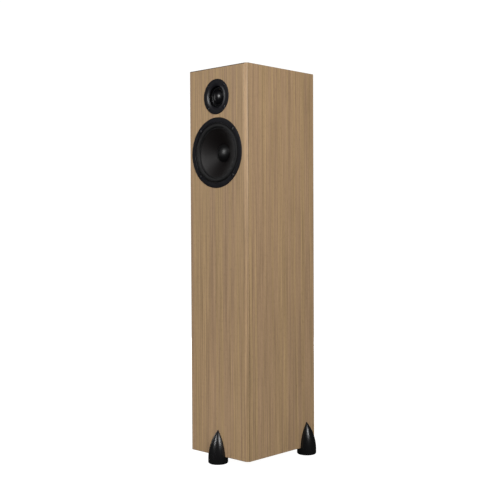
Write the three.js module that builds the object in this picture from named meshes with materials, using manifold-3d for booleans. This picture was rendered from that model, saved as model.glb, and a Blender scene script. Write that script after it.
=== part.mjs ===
// A two-way floorstanding loudspeaker on three claw feet, with its drive units, port, terminals and crossover.
// Millimetres, +Z up, front facing -Y. The origin is on the floor under the middle of the whole object.
import * as THREE from "three";
import { ConvexGeometry } from "three/addons/geometries/ConvexGeometry.js";
import { mergeVertices } from "three/addons/utils/BufferGeometryUtils.js";
import Module from "manifold-3d";

// Cabinet
const cabinetWidth = 194.5;
const cabinetDepth = 241;
const cabinetHeight = 920;
const panelThickness = 18;
const edgeChamfer = 7; // on the baffle's two upright edges
const baffleThickness = panelThickness + edgeChamfer;
const halfWidth = cabinetWidth / 2;
const innerHalfWidth = halfWidth - panelThickness;
const rearInnerFace = cabinetDepth - panelThickness;
const braceThickness = 15;
const braceHeights = { lower_brace: 300, upper_brace: 480 };
const braceRib = 24;
const braceCorner = 1;
const braceWindowCorner = 10;
const gap = 0.3; // between separate pieces that don't share a flat face
const overrun = 1; // how far a cutting shape runs past the face that it opens

// Feet: a disc under the cabinet that carries a half bullet up the face beside it
const footRadius = 23.8;
const footHeight = 17; // clear space under the cabinet
const footChamfer = 2;
const footShoulder = 11; // height where the straight side turns into the bullet
const footTip = 79;
const rearFootDepth = 211;
const footScrewInset = 13; // from the cabinet's face to the fixing screw
const footScrew = { head: 4, headHeight: 4, shank: 2.2, length: 37, socket: 2 };
const footCounterbore = { radius: 4.6, depth: 8 };
const footPilot = 2.6;
const footScrewEnd = footCounterbore.depth + footScrew.length - footHeight; // above the cabinet's underside

// Drive units
const woofer = { height: 719, radius: 83, rebate: 4.2, cutout: 71.6, screwCircle: 76 };
const tweeter = { height: 851, radius: 41.5, rebate: 3.2, cutout: 33, screwCircle: 37 };
const flangeProud = 0.8; // how far both flanges stand in front of the baffle
const wooferScrew = { head: 3.2, headHeight: 2, shank: 1.9, length: 18, socket: 1.5 };
const tweeterScrew = { head: 2.6, headHeight: 1.6, shank: 1.5, length: 15, socket: 1.25 };
const screwsPerDriver = 4;
const socketShare = 0.7; // of the head's height
const wooferScrewSeat = 1.4; // depth of the face under the head
const tweeterScrewSeat = 1;
const basket = {
  lip: 72, // inner edge of the flange that shows
  ledge: 3, // depth of the step that carries the surround
  outerWall: 70.8,
  innerWall: 67.5,
  taperStart: 10,
  neckOuter: 52,
  neckInner: 50.5,
  taperEnd: 46,
  spiderLedge: 38,
  spiderLedgeInner: 44.5,
  floor: 48,
  back: 52,
  opening: 24,
};
const basketWindow = { count: 6, halfWidth: 24, start: 13, end: 35, inner: 40, outer: 90 };
const wooferSurround = {
  outerLip: 71.7,
  outer: 69.8,
  inner: 59.2,
  innerLip: 57.4,
  back: 3,
  thickness: 0.6,
  height: 3.6,
  steps: 6,
};
const trimRing = { inner: 69.9, outer: 71.8, start: 0.6, end: 2.4 };
const cone = { outer: 59.3, inner: 19.6, front: 3.2, depth: 20.8, curve: 1.1, thickness: 1 };
const spider = {
  inner: 19.7,
  firstFold: 22,
  foldStep: 2.9,
  folds: 8,
  foldHeight: 1.8,
  rim: 45,
  outer: 48,
  front: 37.2,
  thickness: 0.8,
};
const dustCap = { radius: 21, base: 22.7, apex: 14, thickness: 0.8 };
const wooferCoil = { bore: 19, former: 19.4, winding: 20.3, start: 24.4, windingStart: 49, end: 61 };
const wooferMotor = {
  airGap: 21,
  plate: 45,
  plateStart: 52,
  magnetBore: 26,
  magnet: 50,
  magnetStart: 58,
  yokeStart: 74,
  yokeEnd: 80,
  pole: 18.4,
  poleTip: 53,
  vent: 6,
};
const wiringTag = { halfWidth: 10, front: 52, back: 53.6, bottom: -62, top: -46.5 };
const dome = { radius: 17.2, base: 7.3, apex: 0.2, thickness: 0.5 };
const tweeterSurround = {
  outerLip: 22.5,
  outer: 21.4,
  inner: 17.6,
  innerLip: 17.3,
  back: 8,
  thickness: 0.5,
  height: 1.6,
  steps: 5,
};
const tweeterCoil = { bore: 16.4, former: 16.7, winding: 17.3, start: 7.9, windingStart: 9.2, end: 12.4 };
const tweeterMotor = {
  airGap: 18.2,
  plate: 32,
  plateStart: 8,
  magnetBore: 21,
  magnet: 32,
  magnetStart: 11,
  yokeStart: 21,
  yokeEnd: 25,
  pole: 15.8,
  poleTip: 9,
  vent: 5,
};
const faceplate = {
  flare: 36,
  throat: 25,
  flareDepth: 3,
  wall: 24.4,
  step: 6.2,
  opening: 22.8,
  back: 8,
  boss: 32.4,
  rimChamfer: 0.6,
};
const rearChamber = { radius: 31, wall: 2, start: 25, end: 45 };

// Reflex port
const port = {
  height: 585,
  bore: 25,
  outer: 29,
  flange: 38,
  mouth: 34,
  lip: 0.6,
  rebate: 4,
  length: 120,
  flare: 10,
};

// Terminals and crossover
const terminalHeight = 140;
const terminalPlate = { width: 90, thickness: 3, corner: 8, rebate: 2, cutout: 64 };
const postSpacing = 38;
const post = { shaft: 3, inner: -28, collar: 8, collarEnd: 4.5, tip: 19, wireHole: 1.2, wireHoleDepth: 6.1 };
const washer = { bore: 3.5, radius: 8, start: 4.7, end: 6.3 };
const knob = { bore: 3.5, radius: 9, start: 6.5, end: 23, plugHole: 2.1, plugDepth: 2.8, chamfer: 1 };
const board = { width: 84, bottom: 78, top: 205, face: 215, thickness: 1.6 };
const coils = {
  woofer_inductor: { inner: 8, outer: 21, length: 18, x: -18, z: 178 },
  tweeter_inductor: { inner: 6, outer: 14, length: 12, x: 24, z: 182 },
};
const capacitors = {
  woofer_capacitor: { radius: 9, length: 36, x: -18, z: 114 },
  tweeter_capacitor: { radius: 7, length: 28, x: -32, z: 92 },
};
const resistor = { left: 4, right: 38, depth: 9, halfHeight: 4.5, z: 92 };
const cableRadius = 2.2;
const cableRoutes = {
  woofer_cable: [
    [36, 214.6, 160],
    [36, 200, 161],
    [43, 186, 190],
    [44, 172, 260],
    [44, 168, 400],
    [46, 160, 540],
    [42, 130, 625],
    [18, 88, 645],
    [0, 68, 652],
    [0, 54, 655],
  ],
  tweeter_cable: [
    [-36, 214.6, 128],
    [-38, 199, 130],
    [-48, 184, 180],
    [-44, 174, 280],
    [-44, 172, 420],
    [-46, 172, 560],
    [-56, 158, 700],
    [-48, 128, 790],
    [-18, 84, 846],
    [0, 62, 851],
    [0, 45.4, 851],
  ],
};
const dampingPad = { thickness: 8, front: 40, back: 205, bottom: 40, top: 285, corner: 12 };

// Facets round a circle
const fine = 40;
const medium = 24;
const coarse = 16;
const small = 10;
const cornerFacets = 2; // of each quarter circle, doubled by the curve itself

const wasm = await Module();
wasm.setup();

function finish(colour, roughness, metalness) {
  return new THREE.MeshStandardMaterial({ color: colour, roughness, metalness });
}

const veneer = finish(0xa08462, 0.55, 0);
const satinBlack = finish(0x141416, 0.38, 0.1);
const blackPlastic = finish(0x1b1b1f, 0.5, 0);
const blackRubber = finish(0x161616, 0.7, 0);
const conePaper = finish(0x1a1918, 0.6, 0);
const glossBlack = finish(0x0c0d10, 0.15, 0);
const plywood = finish(0xb08d5f, 0.8, 0);
const blackSteel = finish(0x17171a, 0.4, 0.8);
const steel = finish(0x8a8c90, 0.4, 0.9);
const ferrite = finish(0x2c2c2e, 0.8, 0);
const copper = finish(0xb87333, 0.35, 0.9);
const spiderCloth = finish(0xb58a3c, 0.9, 0);
const brass = finish(0xc9a557, 0.3, 1);
const redPlastic = finish(0x8e1a1a, 0.35, 0);
const circuitBoard = finish(0x24402c, 0.6, 0);
const capacitorSleeve = finish(0x3b4452, 0.5, 0);
const ceramicCase = finish(0xd8d4c8, 0.8, 0);
const wadding = finish(0xe6e3da, 1, 0);
const cableJacket = finish(0x2a2a2c, 0.6, 0);

// Solids

function solid(geometry) {
  const bare = geometry.clone();
  bare.deleteAttribute("normal");
  bare.deleteAttribute("uv");
  const merged = mergeVertices(bare, 1e-3);
  return new wasm.Manifold(
    new wasm.Mesh({
      numProp: 3,
      vertProperties: new Float32Array(merged.attributes.position.array),
      triVerts: new Uint32Array(merged.index.array),
    }),
  );
}

function geometryOf(manifold) {
  const mesh = manifold.getMesh();
  const geometry = new THREE.BufferGeometry();
  geometry.setAttribute("position", new THREE.BufferAttribute(mesh.vertProperties, 3));
  geometry.setIndex(new THREE.BufferAttribute(mesh.triVerts, 1));
  geometry.computeVertexNormals();
  return geometry;
}

function cut(geometry, cutters) {
  const result = cutters.reduce((left, cutter) => left.subtract(solid(cutter)), solid(geometry));
  return geometryOf(result);
}

// A profile of [radius, depth] points turned round the Y axis. It starts and ends on the axis, or is a ring.
function turned(profile, facets = coarse) {
  const closed = profile[0][0] === 0 ? profile : [...profile, profile[0]];
  const points = closed.map(([radius, depth]) => new THREE.Vector2(radius, depth));
  const twiceArea = points.reduce((sum, point, i) => sum + point.cross(points[(i + 1) % points.length]), 0);
  if (twiceArea < 0) points.reverse();
  return new THREE.LatheGeometry(points, facets);
}

// The same profile, with its second number a height on the Z axis.
function turnedUpright(profile, facets = coarse) {
  return turned(profile, facets).rotateX(Math.PI / 2);
}

function box(low, high) {
  const size = high.map((value, i) => value - low[i]);
  const middle = high.map((value, i) => (value + low[i]) / 2);
  return new THREE.BoxGeometry(...size).translate(...middle);
}

function ring(inner, outer, start, end) {
  return [
    [inner, start],
    [outer, start],
    [outer, end],
    [inner, end],
  ];
}

function rod(radius, start, end) {
  return [
    [0, start],
    [radius, start],
    [radius, end],
    [0, end],
  ];
}

// Points of an ellipse's arc in a profile, from one angle to another in degrees.
function arc(radius, depth, acrossRadius, acrossDepth, from, to, steps) {
  return Array.from({ length: steps + 1 }, (_, i) => {
    const angle = THREE.MathUtils.degToRad(from + ((to - from) * i) / steps);
    return [radius + acrossRadius * Math.cos(angle), depth + acrossDepth * Math.sin(angle)];
  });
}

// A domed shell: its outer skin reaches the apex on the axis and its rim is at the base.
function domedShell({ radius, base, apex, thickness }, steps) {
  const rise = base - apex;
  const sphere = (radius * radius + rise * rise) / (2 * rise);
  const skin = (reach, offset) =>
    Array.from({ length: steps + 1 }, (_, i) => {
      const r = (reach * i) / steps;
      return [r, apex + offset + sphere - Math.sqrt(sphere * sphere - r * r)];
    });
  return [...skin(radius, 0), ...skin(radius - thickness, thickness).reverse()];
}

function roundedRectangle(width, height, corner) {
  const x = width / 2 - corner;
  const y = height / 2 - corner;
  const outline = new THREE.Shape();
  outline.absarc(x, y, corner, 0, Math.PI / 2);
  outline.absarc(-x, y, corner, Math.PI / 2, Math.PI);
  outline.absarc(-x, -y, corner, Math.PI, 1.5 * Math.PI);
  outline.absarc(x, -y, corner, 1.5 * Math.PI, 2 * Math.PI);
  outline.closePath();
  return outline;
}

// A rounded plate standing upright, its thickness running along Y from start.
function uprightPlate(width, height, corner, start, thickness) {
  const options = { depth: thickness, bevelEnabled: false, curveSegments: cornerFacets };
  return new THREE.ExtrudeGeometry(roundedRectangle(width, height, corner), options)
    .rotateX(Math.PI / 2)
    .translate(0, start + thickness, 0);
}

function diagonalPlaces(circle) {
  return Array.from({ length: screwsPerDriver }, (_, i) => {
    const angle = Math.PI / 4 + (i * 2 * Math.PI) / screwsPerDriver;
    return [circle * Math.cos(angle), circle * Math.sin(angle)];
  });
}

// A socket-head screw that points along +Y, its head's face at zero.
function screw({ head, headHeight, shank, length, socket }) {
  const outline = [
    [0, 0],
    [head, 0],
    [head, headHeight],
    [shank, headHeight],
    [shank, headHeight + length],
    [0, headHeight + length],
  ];
  const hexagon = new THREE.CylinderGeometry(socket, socket, 2 * socketShare * headHeight, 6);
  return cut(turned(outline, small), [hexagon]);
}

// The assembly

const speaker = new THREE.Group();
const cabinet = new THREE.Group(); // its zero is the middle of the front face's lower edge
cabinet.position.set(0, -cabinetDepth / 2, footHeight);
speaker.add(cabinet);

function add(name, geometry, material, x = 0, y = 0, z = 0, parent = cabinet) {
  const mesh = new THREE.Mesh(geometry, material);
  mesh.name = name;
  mesh.position.set(x, y, z);
  parent.add(mesh);
  return mesh;
}

function group(x, y, z) {
  const made = new THREE.Group();
  made.position.set(x, y, z);
  cabinet.add(made);
  return made;
}

// Cabinet: a full-height baffle in front of five panels mitred together, and two window braces

function panel(points) {
  return new ConvexGeometry(points.map((point) => new THREE.Vector3(...point)));
}

const ends = [
  [0, panelThickness],
  [cabinetHeight, cabinetHeight - panelThickness],
];
const sides = [-1, 1];

function outerFront(side, height) {
  return [side * halfWidth, edgeChamfer, height];
}

function outerRear(side, height) {
  return [side * halfWidth, cabinetDepth, height];
}

function innerFront(side, height) {
  return [side * innerHalfWidth, baffleThickness, height];
}

function innerRear(side, height) {
  return [side * innerHalfWidth, rearInnerFace, height];
}

function baffleBlank() {
  const points = sides.flatMap((side) =>
    ends.flatMap(([outer]) => [
      [side * (halfWidth - edgeChamfer), 0, outer],
      outerFront(side, outer),
      innerFront(side, outer),
    ]),
  );
  return panel(points);
}

function footPlaces() {
  return [
    { name: "front_foot", x: 0, y: 0, screwX: 0, screwY: footScrewInset },
    { name: "rear_left_foot", x: -halfWidth, y: rearFootDepth, screwX: footScrewInset, screwY: 0 },
    { name: "rear_right_foot", x: halfWidth, y: rearFootDepth, screwX: -footScrewInset, screwY: 0 },
  ];
}

function footPilotHoles() {
  const drill = rod(footPilot, -overrun, footScrewEnd + overrun);
  return footPlaces().map(({ x, y, screwX, screwY }) =>
    turnedUpright(drill, small).translate(x + screwX, y + screwY, 0),
  );
}

function driverOpening(driver, screwShape) {
  const opening = turned(
    [
      [0, -overrun],
      [driver.radius + gap, -overrun],
      [driver.radius + gap, driver.rebate],
      [driver.cutout, driver.rebate],
      [driver.cutout, baffleThickness + overrun],
      [0, baffleThickness + overrun],
    ],
    fine,
  ).translate(0, 0, driver.height);
  const pilotEnd = screwShape.headHeight + screwShape.length + overrun;
  const pilots = diagonalPlaces(driver.screwCircle).map(([x, z]) =>
    turned(rod(screwShape.shank + gap, 0, pilotEnd), small).translate(x, 0, driver.height + z),
  );
  return [opening, ...pilots];
}

function makeBaffle() {
  const cutters = [
    ...driverOpening(woofer, wooferScrew),
    ...driverOpening(tweeter, tweeterScrew),
    ...footPilotHoles(),
  ];
  add("front_baffle", cut(baffleBlank(), cutters), veneer);
}

function makeSidePanel(name, side) {
  const points = ends.flatMap(([outer, inner]) => [
    outerFront(side, outer),
    outerRear(side, outer),
    innerFront(side, inner),
    innerRear(side, inner),
  ]);
  add(name, cut(panel(points), footPilotHoles()), veneer);
}

function makeEndPanel(name, [outer, inner]) {
  const points = sides.flatMap((side) => [
    outerFront(side, outer),
    outerRear(side, outer),
    innerFront(side, inner),
    innerRear(side, inner),
  ]);
  add(name, cut(panel(points), [baffleBlank(), ...footPilotHoles()]), veneer);
}

function makeRearPanel() {
  const points = sides.flatMap((side) =>
    ends.flatMap(([outer, inner]) => [outerRear(side, outer), innerRear(side, inner)]),
  );
  const portHole = turned(
    [
      [0, -panelThickness - overrun],
      [port.outer + gap, -panelThickness - overrun],
      [port.outer + gap, -port.rebate],
      [port.flange + gap, -port.rebate],
      [port.flange + gap, overrun],
      [0, overrun],
    ],
    medium,
  ).translate(0, cabinetDepth, port.height);
  const { width, corner, rebate, cutout } = terminalPlate;
  const plateRebate = uprightPlate(width + 2 * gap, width + 2 * gap, corner, -rebate, rebate + overrun);
  const innerFace = -panelThickness - overrun;
  const plateHole = uprightPlate(cutout, cutout, corner, innerFace, overrun - innerFace);
  const terminalCuts = [plateRebate, plateHole].map((shape) =>
    shape.translate(0, cabinetDepth, terminalHeight),
  );
  add("rear_panel", cut(panel(points), [portHole, ...terminalCuts]), veneer);
}

function makeBrace(name, height) {
  const width = 2 * (innerHalfWidth - gap);
  const depth = rearInnerFace - baffleThickness - 2 * gap;
  const windowWidth = (width - 3 * braceRib) / 2;
  const windowDepth = (depth - 3 * braceRib) / 2;
  const outline = roundedRectangle(width, depth, braceCorner);
  sides.forEach((across) =>
    sides.forEach((along) => {
      const hole = roundedRectangle(windowWidth, windowDepth, braceWindowCorner).getPoints(cornerFacets);
      const x = (across * (windowWidth + braceRib)) / 2;
      const y = (along * (windowDepth + braceRib)) / 2;
      outline.holes.push(new THREE.Path(hole.map((point) => new THREE.Vector2(point.x + x, point.y + y))));
    }),
  );
  const options = { depth: braceThickness, bevelEnabled: false, curveSegments: 1 };
  const plate = new THREE.ExtrudeGeometry(outline, options);
  add(name, plate, plywood, 0, (baffleThickness + rearInnerFace) / 2, height);
}

// Feet

function footProfile() {
  const rise = footTip - footShoulder;
  const sweep = (rise * rise + footRadius * footRadius) / (2 * footRadius);
  const steps = 10;
  const bullet = Array.from({ length: steps + 1 }, (_, i) => {
    const height = (rise * i) / steps;
    return [footRadius - sweep + Math.sqrt(sweep * sweep - height * height), footShoulder + height];
  });
  bullet[steps][0] = 0;
  return [[0, 0], [footRadius - footChamfer, 0], [footRadius, footChamfer], ...bullet];
}

// The bullet stands half in front of a cabinet face, so the cabinet's own block is cut out of it.
function makeFoot({ name, x, y, screwX, screwY }) {
  const block = box([-halfWidth, 0, 0], [halfWidth, cabinetDepth, cabinetHeight]);
  block.translate(-x, -y, footHeight);
  const bore = turnedUpright(
    [
      [0, -overrun],
      [footCounterbore.radius, -overrun],
      [footCounterbore.radius, footCounterbore.depth],
      [footPilot, footCounterbore.depth],
      [footPilot, footHeight + overrun],
      [0, footHeight + overrun],
    ],
    small,
  ).translate(screwX, screwY, 0);
  add(name, cut(turnedUpright(footProfile(), medium), [block, bore]), satinBlack, x, y, -footHeight);
  const fixing = screw(footScrew).rotateX(Math.PI / 2);
  const headFace = footCounterbore.depth - footScrew.headHeight - footHeight;
  add(`${name}_screw`, fixing, blackSteel, x + screwX, y + screwY, headFace);
}

// Woofer: depths are measured back from the baffle's front face

function flangeHoles(driver, screwShape, seat) {
  const profile = [
    [0, -flangeProud - overrun],
    [screwShape.head + gap, -flangeProud - overrun],
    [screwShape.head + gap, seat],
    [screwShape.shank + gap, seat],
    [screwShape.shank + gap, driver.rebate + overrun],
    [0, driver.rebate + overrun],
  ];
  return diagonalPlaces(driver.screwCircle).map(([x, z]) => turned(profile, small).translate(x, 0, z));
}

function makeDriverScrews(prefix, driver, screwShape, seat, parent) {
  diagonalPlaces(driver.screwCircle).forEach(([x, z], i) =>
    add(`${prefix}_${i + 1}`, screw(screwShape), blackSteel, x, seat - screwShape.headHeight, z, parent),
  );
}

function makeBasket(parent) {
  const profile = [
    [basket.lip, -flangeProud],
    [woofer.radius, -flangeProud],
    [woofer.radius, woofer.rebate],
    [basket.outerWall, woofer.rebate],
    [basket.outerWall, basket.taperStart],
    [basket.neckOuter, basket.taperEnd],
    [basket.neckOuter, basket.back],
    [basket.opening, basket.back],
    [basket.opening, basket.floor],
    [basket.spiderLedgeInner, basket.floor],
    [basket.spiderLedgeInner, basket.spiderLedge],
    [basket.neckInner, basket.spiderLedge],
    [basket.innerWall, basket.taperStart],
    [basket.innerWall, basket.ledge],
    [basket.lip, basket.ledge],
  ];
  const { count, halfWidth: reach, start, end, inner, outer } = basketWindow;
  const windows = Array.from({ length: count }, (_, i) =>
    box([-reach, start, inner], [reach, end, outer]).rotateY((i * 2 * Math.PI) / count),
  );
  const holes = flangeHoles(woofer, wooferScrew, wooferScrewSeat);
  add("woofer_basket", cut(turned(profile, fine), [...windows, ...holes]), blackPlastic, 0, 0, 0, parent);
}

// A half-roll ring of elliptical section between two flat lips.
function rollProfile({ outerLip, outer, inner, innerLip, back, thickness, height, steps }) {
  const middle = (outer + inner) / 2;
  const halfSpan = (outer - inner) / 2;
  return [
    [outerLip, back - thickness],
    ...arc(middle, back - thickness, halfSpan, height, 0, -180, steps),
    [innerLip, back - thickness],
    [innerLip, back],
    ...arc(middle, back, halfSpan - thickness, height, -180, 0, steps),
    [outerLip, back],
  ];
}

function coneProfile() {
  const steps = 5;
  const skin = (offset) =>
    Array.from({ length: steps + 1 }, (_, i) => {
      const inward = i / steps;
      const radius = cone.outer - (cone.outer - cone.inner) * inward;
      return [radius, cone.front + offset + cone.depth * Math.pow(inward, cone.curve)];
    });
  return [...skin(0), ...skin(cone.thickness).reverse()];
}

function spiderProfile() {
  const { inner, firstFold, foldStep, folds, foldHeight, rim, outer, front, thickness } = spider;
  const skin = (offset) => [
    [inner, front + offset],
    ...Array.from({ length: folds }, (_, i) => [
      firstFold + foldStep * i,
      front + offset + (i % 2 ? -foldHeight : foldHeight),
    ]),
    [rim, front + offset],
    [outer, front + offset],
  ];
  return [...skin(0), ...skin(thickness).reverse()];
}

// A voice coil: a winding round the back end of a thin former.
function coilProfile({ bore, former, winding, start, windingStart, end }) {
  return [
    [bore, start],
    [former, start],
    [former, windingStart],
    [winding, windingStart],
    [winding, end],
    [bore, end],
  ];
}

// A motor: the front plate and the ring magnet on a vented yoke, whose pole stands inside the voice coil.
function makeMotor(prefix, motor, parent) {
  const plate = ring(motor.airGap, motor.plate, motor.plateStart, motor.magnetStart);
  const magnet = ring(motor.magnetBore, motor.magnet, motor.magnetStart, motor.yokeStart);
  const yoke = [
    [motor.vent, motor.poleTip],
    [motor.pole, motor.poleTip],
    [motor.pole, motor.yokeStart],
    [motor.plate, motor.yokeStart],
    [motor.plate, motor.yokeEnd],
    [motor.vent, motor.yokeEnd],
  ];
  add(`${prefix}_top_plate`, turned(plate, coarse), steel, 0, 0, 0, parent);
  add(`${prefix}_magnet`, turned(magnet, coarse), ferrite, 0, 0, 0, parent);
  add(`${prefix}_yoke`, turned(yoke, coarse), steel, 0, 0, 0, parent);
}

function makeWoofer() {
  const unit = group(0, 0, woofer.height);
  const { inner, outer, start, end } = trimRing;
  const tag = box(
    [-wiringTag.halfWidth, wiringTag.front, wiringTag.bottom],
    [wiringTag.halfWidth, wiringTag.back, wiringTag.top],
  );
  makeBasket(unit);
  add("woofer_surround", turned(rollProfile(wooferSurround), fine), blackRubber, 0, 0, 0, unit);
  add("woofer_trim_ring", turned(ring(inner, outer, start, end), fine), blackRubber, 0, 0, 0, unit);
  add("woofer_cone", turned(coneProfile(), fine), conePaper, 0, 0, 0, unit);
  add("woofer_dust_cap", turned(domedShell(dustCap, 5), medium), glossBlack, 0, 0, 0, unit);
  add("woofer_voice_coil", turned(coilProfile(wooferCoil), coarse), copper, 0, 0, 0, unit);
  add("woofer_spider", turned(spiderProfile(), coarse), spiderCloth, 0, 0, 0, unit);
  add("woofer_wiring_tag", tag, circuitBoard, 0, 0, 0, unit);
  makeMotor("woofer", wooferMotor, unit);
  makeDriverScrews("woofer_screw", woofer, wooferScrew, wooferScrewSeat, unit);
}

// Tweeter: depths are measured back from the baffle's front face

function faceplateProfile() {
  const { flare, throat, flareDepth, wall, step, opening, back, boss, rimChamfer } = faceplate;
  const steps = 5;
  const horn = Array.from({ length: steps + 1 }, (_, i) => {
    const inward = i / steps;
    return [flare - (flare - throat) * inward, flareDepth * inward * inward - flangeProud];
  });
  return [
    ...horn,
    [wall, step],
    [opening, step],
    [opening, back],
    [boss, back],
    [boss, tweeter.rebate],
    [tweeter.radius, tweeter.rebate],
    [tweeter.radius, rimChamfer - flangeProud],
    [tweeter.radius - rimChamfer, -flangeProud],
  ];
}

function makeTweeter() {
  const unit = group(0, 0, tweeter.height);
  const { radius, wall, start, end } = rearChamber;
  const cup = [
    [0, end],
    [radius, end],
    [radius, start],
    [radius - wall, start],
    [radius - wall, end - wall],
    [0, end - wall],
  ];
  const holes = flangeHoles(tweeter, tweeterScrew, tweeterScrewSeat);
  add("tweeter_faceplate", cut(turned(faceplateProfile(), fine), holes), blackPlastic, 0, 0, 0, unit);
  add("tweeter_surround", turned(rollProfile(tweeterSurround), medium), blackRubber, 0, 0, 0, unit);
  add("tweeter_dome", turned(domedShell(dome, 5), medium), glossBlack, 0, 0, 0, unit);
  add("tweeter_voice_coil", turned(coilProfile(tweeterCoil), coarse), copper, 0, 0, 0, unit);
  add("tweeter_rear_chamber", turned(cup, coarse), blackPlastic, 0, 0, 0, unit);
  makeMotor("tweeter", tweeterMotor, unit);
  makeDriverScrews("tweeter_screw", tweeter, tweeterScrew, tweeterScrewSeat, unit);
}

// Port and terminals: depths are measured out from the rear face

function makePort() {
  const flare = arc(port.mouth, -port.flare, port.mouth - port.bore, port.flare + port.lip, 180, 90, 5);
  const profile = [
    [port.bore, -port.length],
    ...flare,
    [port.flange, port.lip],
    [port.flange, -port.rebate],
    [port.outer, -port.rebate],
    [port.outer, -port.length],
  ];
  add("port_tube", turned(profile, medium), blackPlastic, 0, cabinetDepth, port.height);
}

function makeBindingPost(name, x, knobMaterial) {
  const terminal = group(x, cabinetDepth, terminalHeight);
  const plateFace = terminalPlate.thickness - terminalPlate.rebate;
  const stud = [
    [0, post.inner],
    [post.shaft, post.inner],
    [post.shaft, plateFace],
    [post.collar, plateFace],
    [post.collar, post.collarEnd],
    [post.shaft, post.collarEnd],
    [post.shaft, post.tip],
    [0, post.tip],
  ];
  const wireHole = turnedUpright(rod(post.wireHole, -post.collar, post.collar), small).translate(
    0,
    post.wireHoleDepth,
    0,
  );
  const grip = [
    [knob.bore, knob.start],
    [knob.radius, knob.start],
    [knob.radius, knob.end - knob.chamfer],
    [knob.radius - knob.chamfer, knob.end],
    [knob.plugHole, knob.end],
    [knob.plugHole, knob.end - knob.plugDepth],
    [knob.bore, knob.end - knob.plugDepth],
  ];
  const washerProfile = ring(washer.bore, washer.radius, washer.start, washer.end);
  add(`${name}_post_stud`, cut(turned(stud, coarse), [wireHole]), brass, 0, 0, 0, terminal);
  add(`${name}_post_washer`, turned(washerProfile, medium), brass, 0, 0, 0, terminal);
  add(`${name}_post_knob`, turned(grip, medium), knobMaterial, 0, 0, 0, terminal);
}

function postHoles(start, end, height) {
  return sides.map((side) =>
    turned(rod(post.shaft + gap, start, end), coarse).translate((side * postSpacing) / 2, 0, height),
  );
}

function makeTerminals() {
  const { width, corner, rebate, thickness } = terminalPlate;
  const plate = uprightPlate(width, width, corner, -rebate, thickness);
  const drilled = cut(plate, postHoles(-rebate - overrun, thickness, 0));
  add("terminal_plate", drilled, blackPlastic, 0, cabinetDepth, terminalHeight);
  makeBindingPost("negative", -postSpacing / 2, blackPlastic);
  makeBindingPost("positive", postSpacing / 2, redPlastic);
}

// Crossover: a board carried on the posts' inner ends, with its parts on the side that faces the woofer

function makeInductor([name, { inner, outer, length, x, z }]) {
  add(name, turned(ring(inner, outer, -length, -gap), coarse), copper, x, board.face, z);
}

function makeCapacitor([name, { radius, length, x, z }]) {
  const can = turned(rod(radius, 0, length), coarse).rotateZ(-Math.PI / 2);
  add(name, can, capacitorSleeve, x, board.face - radius - gap, z);
}

function makeCrossover() {
  const halfBoard = board.width / 2;
  const boardBack = board.face + board.thickness;
  const blank = box([-halfBoard, board.face, board.bottom], [halfBoard, boardBack, board.top]);
  const holes = postHoles(board.face - overrun, boardBack + overrun, terminalHeight);
  const { left, right, depth, halfHeight, z } = resistor;
  add("crossover_board", cut(blank, holes), circuitBoard);
  Object.entries(coils).forEach(makeInductor);
  Object.entries(capacitors).forEach(makeCapacitor);
  const resistorCase = box([left, -depth, -halfHeight], [right, -gap, halfHeight]);
  add("tweeter_resistor", resistorCase, ceramicCase, 0, board.face, z);
}

// Cables and damping

function makeCable([name, route]) {
  const path = new THREE.CatmullRomCurve3(route.map((point) => new THREE.Vector3(...point)));
  const section = new THREE.Shape();
  section.absarc(0, 0, cableRadius, 0, 2 * Math.PI);
  const options = { extrudePath: path, steps: 56, curveSegments: 4, bevelEnabled: false };
  add(name, new THREE.ExtrudeGeometry(section, options), cableJacket);
}

function makeDampingPad(name, left) {
  const { thickness, front, back, bottom, top, corner } = dampingPad;
  const options = { depth: thickness, bevelEnabled: false, curveSegments: cornerFacets };
  const pad = new THREE.ExtrudeGeometry(roundedRectangle(back - front, top - bottom, corner), options)
    .rotateX(Math.PI / 2)
    .rotateZ(Math.PI / 2);
  add(name, pad, wadding, left, (front + back) / 2, (bottom + top) / 2);
}

function makeDamping() {
  const wall = innerHalfWidth - gap;
  makeDampingPad("left_damping_pad", -wall);
  makeDampingPad("right_damping_pad", wall - dampingPad.thickness);
}

makeBaffle();
makeSidePanel("left_side_panel", -1);
makeSidePanel("right_side_panel", 1);
makeEndPanel("bottom_panel", ends[0]);
makeEndPanel("top_panel", ends[1]);
makeRearPanel();
Object.entries(braceHeights).forEach(([name, height]) => makeBrace(name, height));
footPlaces().forEach(makeFoot);
makeWoofer();
makeTweeter();
makePort();
makeTerminals();
makeCrossover();
Object.entries(cableRoutes).forEach(makeCable);
makeDamping();

export default speaker;
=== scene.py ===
"""The looks of the floorstanding speaker: cabinet, drive units, feet, port, terminals and inner parts.

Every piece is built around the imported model, in metres, +Z up, with the drive units facing -Y. Profiles and
shapes are written in millimetres and scaled by MM.
"""

import math
import random

import bmesh
import bpy
from mathutils import Matrix, Vector


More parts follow.
